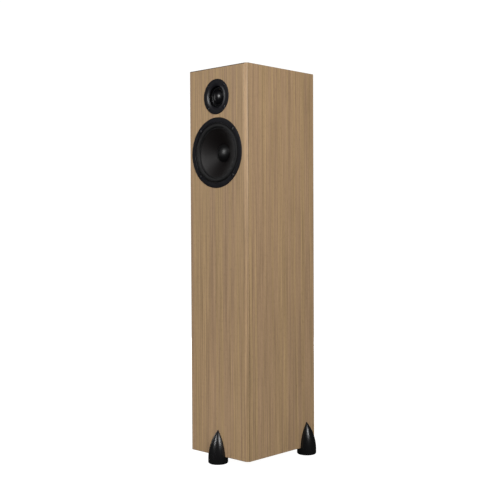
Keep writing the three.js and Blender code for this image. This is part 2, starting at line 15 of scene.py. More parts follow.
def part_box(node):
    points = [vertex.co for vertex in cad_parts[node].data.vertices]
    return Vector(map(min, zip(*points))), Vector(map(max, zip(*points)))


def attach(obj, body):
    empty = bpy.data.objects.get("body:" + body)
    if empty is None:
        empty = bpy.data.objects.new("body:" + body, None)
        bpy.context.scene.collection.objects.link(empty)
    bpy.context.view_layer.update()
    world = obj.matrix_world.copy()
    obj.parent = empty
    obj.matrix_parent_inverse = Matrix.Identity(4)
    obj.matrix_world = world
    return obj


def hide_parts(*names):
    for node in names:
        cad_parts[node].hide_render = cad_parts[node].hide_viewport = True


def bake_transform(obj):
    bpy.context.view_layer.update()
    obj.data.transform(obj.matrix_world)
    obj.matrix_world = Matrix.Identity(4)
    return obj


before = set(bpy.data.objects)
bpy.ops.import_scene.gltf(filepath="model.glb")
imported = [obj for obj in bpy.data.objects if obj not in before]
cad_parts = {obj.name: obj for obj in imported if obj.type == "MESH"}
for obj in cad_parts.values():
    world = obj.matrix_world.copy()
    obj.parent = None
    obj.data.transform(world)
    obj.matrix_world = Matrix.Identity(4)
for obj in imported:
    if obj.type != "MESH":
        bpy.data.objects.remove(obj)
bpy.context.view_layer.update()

MM = 0.001
ROUND = 128  # facets round a large circle
SMALL_ROUND = 48  # facets round a screw or a hole
FILLET_STEPS = 4  # facets round a profile's small corner
ENCLOSURE = "enclosure"  # the body that everything fixed rides on
ORIGIN = Vector((0, 0, 0))
SIDES = (-1, 1)  # left and right
POLES = ("negative", "positive")

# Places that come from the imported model

baffle_low, baffle_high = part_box("front_baffle")
side_low, side_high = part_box("right_side_panel")
BOARD = side_high.x - side_low.x  # panel thickness
HALF = (baffle_high.x - baffle_low.x) / 2
INNER_HALF = HALF - BOARD
LOW, HIGH = baffle_low.z, baffle_high.z
FRONT_Y = baffle_low.y
INNER_FRONT_Y = baffle_high.y
SEAM_Y = side_low.y  # where the baffle's slants end and the side panels begin
SLANT = SEAM_Y - FRONT_Y
REAR_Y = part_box("rear_panel")[1].y
INNER_REAR_Y = REAR_Y - BOARD


def centre_of(node):
    low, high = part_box(node)
    return (low + high) / 2


def axis_place(node, face_y):
    """A point on the node's front-to-back axis, at the depth face_y."""
    middle = centre_of(node)
    return Vector((middle.x, face_y, middle.z))


WOOFER = axis_place("woofer_cone", FRONT_Y)
TWEETER = axis_place("tweeter_dome", FRONT_Y)
PORT = axis_place("port_tube", REAR_Y)
TERMINALS = axis_place("terminal_plate", REAR_Y)

# Node materials


class Shader:
    """A material's node tree, with short ways to add and join nodes."""

    def __init__(self, name, colour, roughness, metallic=0.0, specular=0.5):
        self.material = bpy.data.materials.new(name)
        self.material.use_nodes = True
        self.tree = self.material.node_tree
        self.surface = self.tree.nodes["Principled BSDF"]
        self.set("Base Color", (*colour, 1.0))
        self.set("Roughness", roughness)
        self.set("Metallic", metallic)
        self.set("Specular IOR Level", specular)

    def set(self, socket, value):
        self.surface.inputs[socket].default_value = value

    def add(self, kind, **values):
        node = self.tree.nodes.new(kind)
        for key, value in values.items():
            if key in node.inputs:
                node.inputs[key].default_value = value
            else:
                setattr(node, key, value)
        return node

    def join(self, output, target):
        self.tree.links.new(output, target)

    def place(self, scale):
        """Object coordinates in metres, stretched by scale along each axis."""
        coordinates = self.add("ShaderNodeTexCoord")
        mapping = self.add("ShaderNodeMapping")
        mapping.inputs["Scale"].default_value = scale
        self.join(coordinates.outputs["Object"], mapping.inputs["Vector"])
        return mapping.outputs["Vector"]

    def noise(self, scale, detail=3.0, roughness=0.5, distortion=0.0):
        shape = {"Scale": 1.0, "Detail": detail, "Roughness": roughness, "Distortion": distortion}
        node = self.add("ShaderNodeTexNoise", **shape)
        self.join(self.place(scale), node.inputs["Vector"])
        return node.outputs["Fac"]

    def ramp(self, source, stops):
        node = self.add("ShaderNodeValToRGB")
        elements = node.color_ramp.elements
        while len(elements) < len(stops):
            elements.new(0.5)
        for element, (position, colour) in zip(elements, stops):
            element.position = position
            element.color = (*colour, 1.0) if isinstance(colour, tuple) else (colour, colour, colour, 1.0)
        self.join(source, node.inputs["Fac"])
        return node.outputs["Color"]

    def math(self, operation, first, second):
        node = self.add("ShaderNodeMath", operation=operation)
        for socket, value in zip(node.inputs, (first, second)):
            if isinstance(value, (int, float)):
                socket.default_value = value
            else:
                self.join(value, socket)
        return node.outputs[0]

    def mix(self, factor, first, second, blend="MIX"):
        node = self.add("ShaderNodeMix", data_type="RGBA", blend_type=blend)
        for socket, value in ((node.inputs[0], factor), (node.inputs[6], first), (node.inputs[7], second)):
            if isinstance(value, (int, float)):
                socket.default_value = value
            elif isinstance(value, tuple):
                socket.default_value = (*value, 1.0)
            else:
                self.join(value, socket)
        return node.outputs[2]

    def colour(self, output):
        self.join(output, self.surface.inputs["Base Color"])

    def vary_roughness(self, source, low, high):
        node = self.add("ShaderNodeMapRange")
        node.inputs["To Min"].default_value = low
        node.inputs["To Max"].default_value = high
        self.join(source, node.inputs["Value"])
        self.join(node.outputs[0], self.surface.inputs["Roughness"])

    def bump(self, source, depth, strength=1.0):
        node = self.add("ShaderNodeBump", Strength=strength, Distance=depth)
        self.join(source, node.inputs["Height"])
        self.join(node.outputs["Normal"], self.surface.inputs["Normal"])


VENEER = (0.385, 0.254, 0.138)
PINK_TINT = (0.97, 0.955, 1.0)
YELLOW_TINT = (1.035, 1.04, 0.98)


def shade(colour, share, lift=0.0):
    """A colour made darker or lighter by a share, and then lifted by an even amount."""
    return tuple(channel * share + lift for channel in colour)


def veneer(name, along):
    """Straight-grained veneer with long thin streaks. Its grain runs along the x, y or z axis."""
    s = Shader(name, VENEER, 0.45, specular=0.35)

    def grain(across, lengthwise, **options):
        scale = [across] * 3
        scale["xyz".index(along)] = lengthwise
        return s.noise(scale, **options)

    bands = grain(130, 0.8, detail=2.0)
    streaks = grain(300, 3.2, detail=3.0, roughness=0.65, distortion=0.1)
    hairs = grain(900, 14, detail=3.0, roughness=0.6)
    pores = grain(1900, 90, detail=1.0)
    base = s.ramp(streaks, [(0.3, shade(VENEER, 0.7)), (0.5, VENEER), (0.7, shade(VENEER, 1.22))])
    tinted = s.mix(s.ramp(bands, [(0.4, 0.0), (0.6, 1.0)]), PINK_TINT, YELLOW_TINT)
    toned = s.mix(1.0, base, tinted, blend="MULTIPLY")
    haired = s.mix(1.0, toned, s.ramp(hairs, [(0.3, 0.86), (0.65, 1.06)]), blend="MULTIPLY")
    s.colour(s.mix(1.0, haired, s.ramp(pores, [(0.3, 0.72), (0.4, 1.0)]), blend="MULTIPLY"))
    s.vary_roughness(hairs, 0.42, 0.52)
    s.bump(hairs, 0.00003, 0.4)
    s.set("Coat Weight", 0.1)
    s.set("Coat Roughness", 0.24)
    return s.material


def raw_board(name, pale, dark, layer):
    """Plywood or board with plies of the given thickness in metres."""
    s = Shader(name, pale, 0.75)
    plies = s.add("ShaderNodeTexWave", Scale=1.0, Distortion=0.4, Detail=1.0)
    plies.bands_direction = "Z"
    s.join(s.place((1, 1, math.pi / layer)), plies.inputs["Vector"])
    fibre = s.noise((500, 30, 500), detail=4.0)
    layered = s.mix(s.ramp(plies.outputs["Fac"], [(0.35, 0.0), (0.65, 1.0)]), dark, pale)
    s.colour(s.mix(s.ramp(fibre, [(0.3, 0.0), (0.7, 0.35)]), layered, dark))
    s.bump(fibre, 0.00008, 0.5)
    return s.material


def moulded(name, colour, low, high, grain=2600, depth=0.00002):
    """Moulded or painted surface with a fine even texture, its roughness between low and high."""
    s = Shader(name, colour, low, specular=0.4)
    texture = s.noise((grain,) * 3, detail=2.0)
    handling = s.noise((38,) * 3, detail=3.0)
    s.colour(s.mix(s.ramp(handling, [(0.4, 0.0), (0.75, 1.0)]), colour, shade(colour, 1.3, 0.001)))
    s.vary_roughness(s.math("MULTIPLY_ADD", handling, 0.5), low, high)
    s.bump(texture, depth, 0.6)
    return s.material


def rubbery(name, colour):
    """Rubber or soft plastic with a faint pale bloom."""
    s = Shader(name, colour, 0.62, specular=0.35)
    pebble = s.noise((3200,) * 3, detail=2.0)
    bloom = s.noise((90,) * 3, detail=4.0)
    s.colour(s.mix(s.ramp(bloom, [(0.45, 0.0), (0.8, 0.8)]), colour, shade(colour, 1.7, 0.002)))
    s.vary_roughness(bloom, 0.5, 0.72)
    s.bump(pebble, 0.00003, 0.5)
    return s.material


def pressed_paper(name, colour):
    """Felted paper pulp with fine warm fibres."""
    s = Shader(name, colour, 0.5, specular=0.3)
    fibres = s.noise((900, 500, 900), detail=5.0, roughness=0.7, distortion=0.8)
    cloud = s.noise((45,) * 3, detail=2.0)
    warm = (colour[0] * 1.8, colour[1] * 1.65, colour[2] * 1.5)
    s.colour(s.mix(s.ramp(fibres, [(0.4, 0.0), (0.7, 1.0)]), colour, warm))
    s.vary_roughness(cloud, 0.42, 0.52)
    s.bump(fibres, 0.00005, 0.55)
    return s.material


def polished(name, colour, low, high, ripple=0.25):
    """Smooth lacquer or coated cloth with a little dust. ripple is how uneven it is."""
    s = Shader(name, colour, low, specular=0.5)
    dust = s.noise((600,) * 3, detail=4.0, roughness=0.7)
    smears = s.noise((70,) * 3, detail=2.0)
    s.colour(s.mix(s.ramp(dust, [(0.55, 0.0), (0.8, 1.0)]), colour, shade(colour, 1.6)))
    s.vary_roughness(smears, low, high)
    s.bump(smears, 0.00002, ripple)
    return s.material


def metal(name, colour, low, high):
    """Bare or plated metal, turned or brushed round the front-to-back axis and a little tarnished."""
    s = Shader(name, colour, low, metallic=1.0)
    scratches = s.noise((80, 1800, 80), detail=3.0)
    tarnish = s.noise((60,) * 3, detail=4.0)
    s.colour(s.mix(s.ramp(tarnish, [(0.4, 0.0), (0.75, 1.0)]), colour, shade(colour, 0.72)))
    s.vary_roughness(scratches, low, high)
    s.bump(scratches, 0.00001, 0.4)
    return s.material


def sintered(name, colour, speck, specular=0.5):
    """A dull grainy solid, such as ferrite or cement, also used for dark brown edge bands and for painted
    shade.
    """
    s = Shader(name, colour, 0.7, specular=specular)
    grains = s.noise((1500,) * 3, detail=5.0, roughness=0.8)
    s.colour(s.mix(s.ramp(grains, [(0.5, 0.0), (0.75, 1.0)]), colour, speck))
    s.vary_roughness(grains, 0.55, 0.85)
    s.bump(grains, 0.00006, 0.6)
    return s.material


def wound_wire(name, colour, pitch):
    """Enamelled wire wound round the front-to-back axis, its turns pitch metres apart, with painted shade in
    the grooves between the turns.
    """
    s = Shader(name, colour, 0.3, metallic=1.0)
    turns = s.add("ShaderNodeTexWave", Scale=1.0)
    turns.bands_direction = "Y"
    s.join(s.place((0, math.pi / pitch, 0)), turns.inputs["Vector"])
    uneven = s.noise((200,) * 3)
    # Painted shade: the darker colour between the turns stands in for the shade in the grooves between them.
    between = shade(colour, 0.35)
    s.colour(s.mix(s.ramp(turns.outputs["Fac"], [(0.1, 0.0), (0.5, 1.0)]), between, colour))
    s.vary_roughness(uneven, 0.25, 0.45)
    s.bump(turns.outputs["Fac"], 0.0002, 0.8)
    return s.material


def woven(name, colour, dark, thread):
    """Cloth of threads that lie thread metres apart across the front-to-back axis, with painted shade in the
    gaps between the threads.
    """
    s = Shader(name, colour, 0.85)
    threads = []
    for direction, scale in (("X", (1, 0, 0)), ("Z", (0, 0, 1))):
        wave = s.add("ShaderNodeTexWave", Scale=1.0)
        wave.bands_direction = direction
        s.join(s.place(shade(scale, math.pi / thread)), wave.inputs["Vector"])
        threads.append(wave.outputs["Fac"])
    weave = s.math("MULTIPLY", *threads)
    fuzz = s.noise((1200,) * 3, detail=3.0)
    # Painted shade: the dark colour fills the gaps between the threads, where shade falls.
    s.colour(s.mix(s.ramp(weave, [(0.05, 0.0), (0.5, 1.0)]), dark, colour))
    s.vary_roughness(fuzz, 0.75, 0.95)
    s.bump(weave, 0.0002, 0.7)
    return s.material


def fibre_pad(name, colour):
    """Loose bonded fibre, in tangled pale strands."""
    s = Shader(name, colour, 0.95)
    s.set("Sheen Weight", 0.3)
    strands = s.noise((260, 520, 520), detail=6.0, roughness=0.8, distortion=2.5)
    tufts = s.noise((60,) * 3, detail=3.0)
    s.colour(s.mix(s.ramp(strands, [(0.35, 0.0), (0.6, 1.0)]), shade(colour, 0.6), colour))
    s.vary_roughness(tufts, 0.85, 1.0)
    s.bump(strands, 0.0012, 0.8)
    return s.material


def circuit(name):
    """Green board with paler tracks under the mask."""
    s = Shader(name, (0.02, 0.06, 0.03), 0.4)
    black, white = (0, 0, 0, 1), (1, 1, 1, 1)
    tracks = s.add("ShaderNodeTexBrick", Scale=1.0, offset=0.5, Color1=black, Color2=black, Mortar=white)
    tracks.inputs["Mortar Size"].default_value = 0.018
    coordinates = s.add("ShaderNodeTexCoord")
    turned = s.add("ShaderNodeMapping")
    turned.inputs["Rotation"].default_value = (math.pi / 2, 0, 0)
    turned.inputs["Scale"].default_value = (45, 45, 45)
    s.join(coordinates.outputs["Object"], turned.inputs["Vector"])
    s.join(turned.outputs["Vector"], tracks.inputs["Vector"])
    glass = s.noise((900,) * 3)
    s.colour(s.mix(tracks.outputs["Color"], (0.012, 0.05, 0.022), (0.03, 0.12, 0.05)))
    s.vary_roughness(glass, 0.3, 0.5)
    s.bump(tracks.outputs["Fac"], 0.00004, 0.6)
    return s.material


MATERIALS = {
    "veneer": veneer("veneer_upright", "z"),
    "veneer_flat": veneer("veneer_front_to_back", "y"),
    # Dark brown for the narrow faces beside the baffle's slants and along its top slant.
    "dark_edge_band": sintered("dark_brown_edge_band", (0.075, 0.046, 0.022), (0.1, 0.065, 0.035)),
    "foot_black": polished("foot_satin_black", (0.0055, 0.0053, 0.0056), 0.26, 0.28, ripple=0.0),
    "driver_black": moulded("driver_moulded_black", (0.004, 0.0038, 0.0058), 0.28, 0.35),
    # Painted shade: a near-black, dull colour for the tweeter's throat step, where the recess lies in shade.
    "throat_shade_black": sintered("throat_painted_shade", (0.001, 0.001, 0.0012), (0.0016, 0.0016, 0.002), specular=0.1),
    "rubber": rubbery("surround_rubber", (0.0032, 0.003, 0.0034)),
    "cone_black": pressed_paper("cone_pressed_paper", (0.0036, 0.0025, 0.0025)),
    "gloss_black": polished("dome_coated_black", (0.0016, 0.0016, 0.0024), 0.28, 0.34),
    "cap_black": polished("cap_satin_black", (0.001, 0.001, 0.0014), 0.39, 0.45),
    "plywood": raw_board("brace_plywood", (0.43, 0.28, 0.14), (0.2, 0.11, 0.05), 0.0025),
    "black_steel": metal("blackened_steel", (0.22, 0.22, 0.235), 0.28, 0.4),
    "steel": metal("zinc_plated_steel", (0.42, 0.43, 0.44), 0.28, 0.42),
    "ferrite": sintered("sintered_ferrite", (0.028, 0.028, 0.03), (0.06, 0.06, 0.062)),
    "copper": wound_wire("wound_copper", (0.72, 0.32, 0.14), 0.0009),
    "spider_cloth": woven("spider_woven_cloth", (0.46, 0.26, 0.07), (0.2, 0.1, 0.02), 0.0007),
    "brass": metal("gold_plated_brass", (0.78, 0.55, 0.2), 0.18, 0.3),
    "red_plastic": moulded("knob_red", (0.3, 0.012, 0.01), 0.3, 0.4),
    "circuit_board": circuit("circuit_board_green"),
    "capacitor": moulded("capacitor_sleeve", (0.045, 0.06, 0.09), 0.25, 0.4, 500, 0.00003),
    "ceramic": sintered("resistor_cement", (0.66, 0.63, 0.56), (0.45, 0.43, 0.39)),
    "wadding": fibre_pad("polyester_wadding", (0.8, 0.78, 0.72)),
    "cable": rubbery("cable_jacket", (0.014, 0.014, 0.016)),
}

# Mesh helpers


def smooth(mesh, sharp_angle):
    """Smooth shading, except across edges that turn by more than sharp_angle degrees."""
    mesh.shade_smooth()
    mesh.set_sharp_from_angle(angle=math.radians(sharp_angle))


def bevel(bm, edges, width, segments):
    bmesh.ops.bevel(bm, geom=edges, offset=width, segments=segments, profile=0.5, affect="EDGES")


def object_from(bm, name, smooth_angle=40):
    bmesh.ops.remove_doubles(bm, verts=bm.verts, dist=1e-7)
    bmesh.ops.recalc_face_normals(bm, faces=bm.faces)
    mesh = bpy.data.meshes.new(name)
    bm.to_mesh(mesh)
    bm.free()
    smooth(mesh, smooth_angle)
    made = bpy.data.objects.new(name, mesh)
    bpy.context.scene.collection.objects.link(made)
    return made


def apply_modifiers(obj):
    depsgraph = bpy.context.evaluated_depsgraph_get()
    mesh = bpy.data.meshes.new_from_object(obj.evaluated_get(depsgraph))
    obj.modifiers.clear()
    obj.data = mesh
    return obj


def carve(obj, cutters, smooth_angle=40):
    """Cuts the cutters out of obj and deletes them."""
    for cutter in cutters:
        cutting = obj.modifiers.new("cut", "BOOLEAN")
        cutting.operation = "DIFFERENCE"
        cutting.solver = "EXACT"
        cutting.object = cutter
    apply_modifiers(obj)
    for cutter in cutters:
        bpy.data.objects.remove(cutter)
    smooth(obj.data, smooth_angle)
    return obj


def filleted(points):
    """A profile's corners rounded. Its points are (radius, depth) or (radius, depth, fillet), in mm."""
    count = len(points)
    smooth = []
    for i, point in enumerate(points):
        here = Vector(point[:2])
        radius = point[2] if len(point) > 2 else 0
        if radius <= 0:
            smooth.append(here)
            continue
        before = (Vector(points[i - 1][:2]) - here).normalized()
        after = (Vector(points[(i + 1) % count][:2]) - here).normalized()
        half = before.angle(after) / 2
        reach = radius / math.tan(half)
        start, end = here + before * reach, here + after * reach
        middle = here + (before + after).normalized() * (radius / math.sin(half))
        for step in range(FILLET_STEPS + 1):
            arm = (start - middle).lerp(end - middle, step / FILLET_STEPS).normalized() * radius
            smooth.append(middle + arm)
    return smooth


def lathe_mesh(profile, facets):
    """A bmesh of a profile turned round the Y axis. It starts and ends on the axis, or is a closed loop."""
    bm = bmesh.new()
    rings = []
    for radius, depth in filleted(profile):
        if radius < 1e-6:
            rings.append([bm.verts.new((0, depth * MM, 0))] * facets)
            continue
        ring = []
        for k in range(facets):
            angle = 2 * math.pi * k / facets
            spot = (radius * MM * math.cos(angle), depth * MM, radius * MM * math.sin(angle))
            ring.append(bm.verts.new(spot))
        rings.append(ring)
    pairs = list(zip(rings, rings[1:]))
    if profile[0][0] > 0:
        pairs.append((rings[-1], rings[0]))
    for first, second in pairs:
        for k in range(facets):
            corners = [first[k], first[(k + 1) % facets], second[(k + 1) % facets], second[k]]
            unique = list(dict.fromkeys(corners))
            if len(unique) > 2:
                bm.faces.new(unique)
    return bm


def lathe(name, profile, place, facets=ROUND, upright=False, smooth_angle=40):
    """A turned object at place. Its axis is Y, or Z if upright."""
    bm = lathe_mesh(profile, facets)
    if upright:
        bmesh.ops.rotate(bm, verts=bm.verts, cent=(0, 0, 0), matrix=Matrix.Rotation(math.pi / 2, 3, "X"))
    bmesh.ops.translate(bm, verts=bm.verts, vec=place)
    return object_from(bm, name, smooth_angle)


def turned_cut(name, radius, near, far, place, facets=SMALL_ROUND, upright=False):
    """A plain cylinder from near to far along its axis, for cutting a round hole."""
    profile = [(0, near), (radius, near), (radius, far), (0, far)]
    return lathe(name, profile, place, facets, upright=upright)


def cuboid(name, low, high, rounding=0.0, segments=2):
    bm = bmesh.new()
    bmesh.ops.create_cube(bm, size=1)
    for vert in bm.verts:
        vert.co = Vector([low[i] + (vert.co[i] + 0.5) * (high[i] - low[i]) for i in range(3)])
    if rounding:
        bevel(bm, bm.edges, rounding, segments)
    return object_from(bm, name)


def prism(name, outline, low, high, rounding=0.0):
    """An outline of (x, z) points pushed along Y from low to high, with its rims rounded."""
    bm = bmesh.new()
    loops = [[bm.verts.new((x, y, z)) for x, z in outline] for y in (low, high)]
    for loop in loops:
        bm.faces.new(loop)
    count = len(outline)
    for i in range(count):
        j = (i + 1) % count
        bm.faces.new([loops[0][i], loops[0][j], loops[1][j], loops[1][i]])
    if rounding:
        rim = [edge for edge in bm.edges if edge.verts[0].co.y == edge.verts[1].co.y]
        bevel(bm, rim, rounding, 2)
    return object_from(bm, name)


def hexagon(name, radius, low, high):
    """A hexagonal bar along Y, for cutting sockets."""
    points = [(radius * math.cos(math.pi * k / 3), radius * math.sin(math.pi * k / 3)) for k in range(6)]
    return prism(name, points, low, high)


def paint(obj, material):
    obj.data.materials.clear()
    obj.data.materials.append(MATERIALS[material])


def dress(obj, material, body=ENCLOSURE, nodes=()):
    """Gives a piece its material and its body, and hides the CAD nodes that it stands for."""
    paint(obj, material)
    if body:
        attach(obj, body)
    if nodes:
        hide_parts(*nodes)
    return obj


# Cabinet

TOP_EDGE_SLANT = 2 * MM
SLANT_ROUNDING = 1.8 * MM
EDGE_SOFTENING = 0.45 * MM  # sanded edge of each panel, which draws the seams
WOOFER_SEAT = {"radius": 83.3, "rebate": 4.2, "cutout": 71.6}
TWEETER_SEAT = {"radius": 41.8, "rebate": 3.2, "cutout": 33}
PLATE_WIDTH = 90  # terminal plate
PLATE_CORNER = 8


def soften(obj):
    """Rounds all of the object's edges a little."""
    ease_edge(obj, lambda spot: True, EDGE_SOFTENING, 2)
    smooth(obj.data, 30)
    return obj


def ease_edge(obj, choose, width, segments):
    """Takes more off the edges whose ends choose accepts: one segment is a slant, several are a rounding."""
    bm = bmesh.new()
    bm.from_mesh(obj.data)
    edges = [e for e in bm.edges if all(choose(v.co) for v in e.verts)]
    bevel(bm, edges, width, segments)
    bm.to_mesh(obj.data)
    bm.free()
    return obj


def darken_edge_bands(obj):
    """Paints dark brown the narrow faces beside the baffle's slants and the faces of the baffle's top slant.
    """
    obj.data.materials.append(MATERIALS["dark_edge_band"])
    for face in obj.data.polygons:
        off_side = abs(abs(face.center.x) - HALF)
        off_seam = abs(face.center.y - SEAM_Y)
        narrow = face.area < 2 * EDGE_SOFTENING * (HIGH - LOW)
        beside_slant = narrow and max(off_side, off_seam) < EDGE_SOFTENING
        near_top = max(HIGH - face.center.z, face.center.y - FRONT_Y) < TOP_EDGE_SLANT
        if beside_slant or (near_top and 0.3 < face.normal.z < 0.95):
            face.material_index = 1


def hull(name, points):
    """The flat-sided board that its corner points span."""
    bm = bmesh.new()
    for point in points:
        bm.verts.new(point)
    made = bmesh.ops.convex_hull(bm, input=bm.verts)
    bmesh.ops.delete(bm, geom=list(set(made["geom_interior"] + made["geom_unused"])), context="VERTS")
    bmesh.ops.dissolve_limit(bm, angle_limit=math.radians(1), verts=bm.verts, edges=bm.edges)
    return object_from(bm, name, 30)


def baffle_corners(level):
    for side in SIDES:
        yield side * (HALF - SLANT), FRONT_Y, level
        yield side * HALF, SEAM_Y, level
        yield side * INNER_HALF, INNER_FRONT_Y, level


def end_corners(level, inset):
    for side in SIDES:
        x = side * (HALF - inset)
        yield x, SEAM_Y + inset, level
        yield x, REAR_Y - inset, level


def driver_opening(place, radius, rebate, cutout):
    """A through hole for a drive unit, with a rebate for its flange."""
    profile = [(0, -2), (radius, -2), (radius, rebate), (cutout, rebate), (cutout, 40), (0, 40)]
    return lathe("driver_opening", profile, place)


def on_front_corner(spot):
    return abs(spot.y - FRONT_Y) < MM and abs(spot.x) > HALF - SLANT - MM


def make_baffle():
    board = hull("front_baffle_board", [*baffle_corners(LOW), *baffle_corners(HIGH)])
    ease_edge(board, lambda spot: spot.z > HIGH - MM and spot.y < FRONT_Y + MM, TOP_EDGE_SLANT, 1)
    ease_edge(board, on_front_corner, SLANT_ROUNDING, 4)
    soften(board)
    carve(board, [driver_opening(WOOFER, **WOOFER_SEAT), driver_opening(TWEETER, **TWEETER_SEAT)], 30)
    dress(board, "veneer", nodes=["front_baffle"])
    darken_edge_bands(board)


def make_side(name, side):
    points = [(side * HALF, y, z) for y in (SEAM_Y, REAR_Y) for z in (LOW, HIGH)]
    for y in (INNER_FRONT_Y, INNER_REAR_Y):
        points += [(side * INNER_HALF, y, z) for z in (LOW + BOARD, HIGH - BOARD)]
    board = dress(soften(hull(f"{name}_board", points)), "veneer", nodes=[name])
    darken_edge_bands(board)


def make_end(name, outer, inner):
    board = hull(f"{name}_board", [*end_corners(outer, 0), *end_corners(inner, BOARD)])
    block = hull("baffle_block", [*baffle_corners(LOW - 0.01), *baffle_corners(HIGH + 0.01)])
    carve(board, [block], 30)
    dress(soften(board), "veneer_flat", nodes=[name])


def plate_outline(width):
    """A square with rounded corners round the middle of the terminals, width mm across."""
    corner = PLATE_CORNER * MM
    steps = 6
    points = []
    for quarter, (sx, sz) in enumerate(((1, 1), (-1, 1), (-1, -1), (1, -1))):
        for k in range(steps + 1):
            angle = math.pi / 2 * (quarter + k / steps)
            x = sx * (width * MM / 2 - corner) + corner * math.cos(angle)
            z = sz * (width * MM / 2 - corner) + corner * math.sin(angle)
            points.append((x + TERMINALS.x, z + TERMINALS.z))
    return points


def make_rear_panel():
    points = [(side * HALF, REAR_Y, z) for side in SIDES for z in (LOW, HIGH)]
    points += [(side * INNER_HALF, INNER_REAR_Y, z) for side in SIDES for z in (LOW + BOARD, HIGH - BOARD)]
    board = soften(hull("rear_panel_board", points))
    port_profile = [(0, -25), (29.3, -25), (29.3, -4), (38.3, -4), (38.3, 2), (0, 2)]
    cuts = [lathe("port_cut", port_profile, PORT)]
    for width, low in ((PLATE_WIDTH + 0.6, -2), (64, -25)):
        cuts.append(prism("terminal_cut", plate_outline(width), REAR_Y + low * MM, REAR_Y + 5 * MM))
    carve(board, cuts, 30)
    dress(board, "veneer", nodes=["rear_panel"])


# Feet

FOOT_RADIUS = 23.8
FOOT_SHOULDER = 11
FOOT_TIP = 79
FOOT_ROUND = 96  # facets
CABINET_CLEARANCE = 0.02 * MM


def foot_profile():
    """A short cylinder with a softened base, and an ogive from its shoulder to a point."""
    rise = FOOT_TIP - FOOT_SHOULDER
    sweep = (rise**2 + FOOT_RADIUS**2) / (2 * FOOT_RADIUS)
    steps = 36
    ogive = []
    for k in range(steps + 1):
        height = rise * k / steps
        ogive.append((FOOT_RADIUS - sweep + math.sqrt(sweep**2 - height**2), FOOT_SHOULDER + height))
    ogive[-1] = (0, FOOT_TIP)
    return [(0, 0), (FOOT_RADIUS - 2.2, 0, 0.5), (FOOT_RADIUS, 2.2, 1.2), *ogive]


def make_foot(name):
    """A pointed foot cut to fit round the cabinet's lower edge, with a bore for its screw."""
    middle = centre_of(name)
    place = Vector((middle.x, middle.y, 0))
    foot = lathe(f"{name}_body", foot_profile(), place, FOOT_ROUND, upright=True)
    block_low = (-HALF - CABINET_CLEARANCE, FRONT_Y - CABINET_CLEARANCE, LOW)
    block = cuboid("cabinet_block", block_low, (HALF + CABINET_CLEARANCE, REAR_Y, HIGH))
    screw = centre_of(f"{name}_screw")
    bore = [(0, -1), (4.6, -1), (4.6, 8), (2.6, 8), (2.6, 20), (0, 20)]
    hole = lathe("screw_bore", bore, Vector((screw.x, screw.y, 0)), SMALL_ROUND, upright=True)
    carve(foot, [block, hole], 35)
    dress(foot, "foot_black", nodes=[name])


def socket_screw(name, node, head, head_height, shank, length, socket, body=ENCLOSURE, upright=False):
    """A button-headed screw whose head faces -Y, or -Z if upright, standing for the CAD screw."""
    rim = head - 0.3
    tip = head_height + length
    profile = [
        (0, 0),
        (rim - 0.6, 0, 0.4),
        (rim, 0.7, 0.4),
        (rim, head_height),
        (shank, head_height),
        (shank, tip - 1),
        (shank - 1, tip),
        (0, tip),
    ]
    screw = lathe(name, profile, ORIGIN, SMALL_ROUND)
    carve(screw, [hexagon("socket", socket * MM, -MM, head_height * 0.7 * MM)], 35)
    low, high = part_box(node)
    middle = (low + high) / 2
    if upright:
        screw.data.transform(Matrix.Rotation(math.pi / 2, 4, "X"))
        screw.data.transform(Matrix.Translation(Vector((middle.x, middle.y, low.z))))
    else:
        screw.data.transform(Matrix.Translation(Vector((middle.x, low.y, middle.z))))
    dress(screw, "black_steel", body, [node])


def make_feet():
    for name in ("front_foot", "rear_left_foot", "rear_right_foot"):
        make_foot(name)
        socket_screw(f"{name}_fixing", f"{name}_screw", 4, 4.2, 2.2, 36.8, 2, upright=True)


# Woofer: profiles in millimetres, depth measured back from the baffle's face


def screw_bores(nodes, head, seat, shank):
    """Counterbored holes in a flange, on the axes of the given screws."""
    profile = [(0, -3), (head, -3), (head, seat), (shank, seat), (shank, 8), (0, 8)]
    places = [axis_place(node, FRONT_Y) for node in nodes]
    return [lathe("screw_bore", profile, place, SMALL_ROUND) for place in places]


def make_basket():
    profile = [
        (72, -0.8, 0.3),
        (83, -0.8, 0.5),
        (83, 4.2),
        (70.8, 4.2, 1),
        (70.8, 10, 4),
        (52, 46, 2),
        (52, 52, 1),
        (24, 52),
        (24, 48, 0.5),
        (44.5, 48, 1),
        (44.5, 38, 0.4),
        (50.5, 38, 1),
        (67.5, 10, 3),
        (67.5, 3, 0.3),
        (72, 3),
    ]
    basket = lathe("woofer_basket_casting", profile, WOOFER)
    windows = []
    spokes = 6
    for k in range(spokes):
        window = cuboid("window", (-24 * MM, 13 * MM, 40 * MM), (24 * MM, 35 * MM, 90 * MM), 3 * MM, 3)
        window.data.transform(Matrix.Rotation(2 * math.pi * k / spokes, 4, "Y"))
        window.data.transform(Matrix.Translation(WOOFER))
        windows.append(window)
    screws = [f"woofer_screw_{k}" for k in range(1, 5)]
    carve(basket, windows + screw_bores(screws, head=3.6, seat=1.4, shank=2.2))
    dress(basket, "driver_black", nodes=["woofer_basket"])
    for node in screws:
        socket_screw(f"{node}_cap", node, 3.2, 2, 1.9, 18, 1.5)


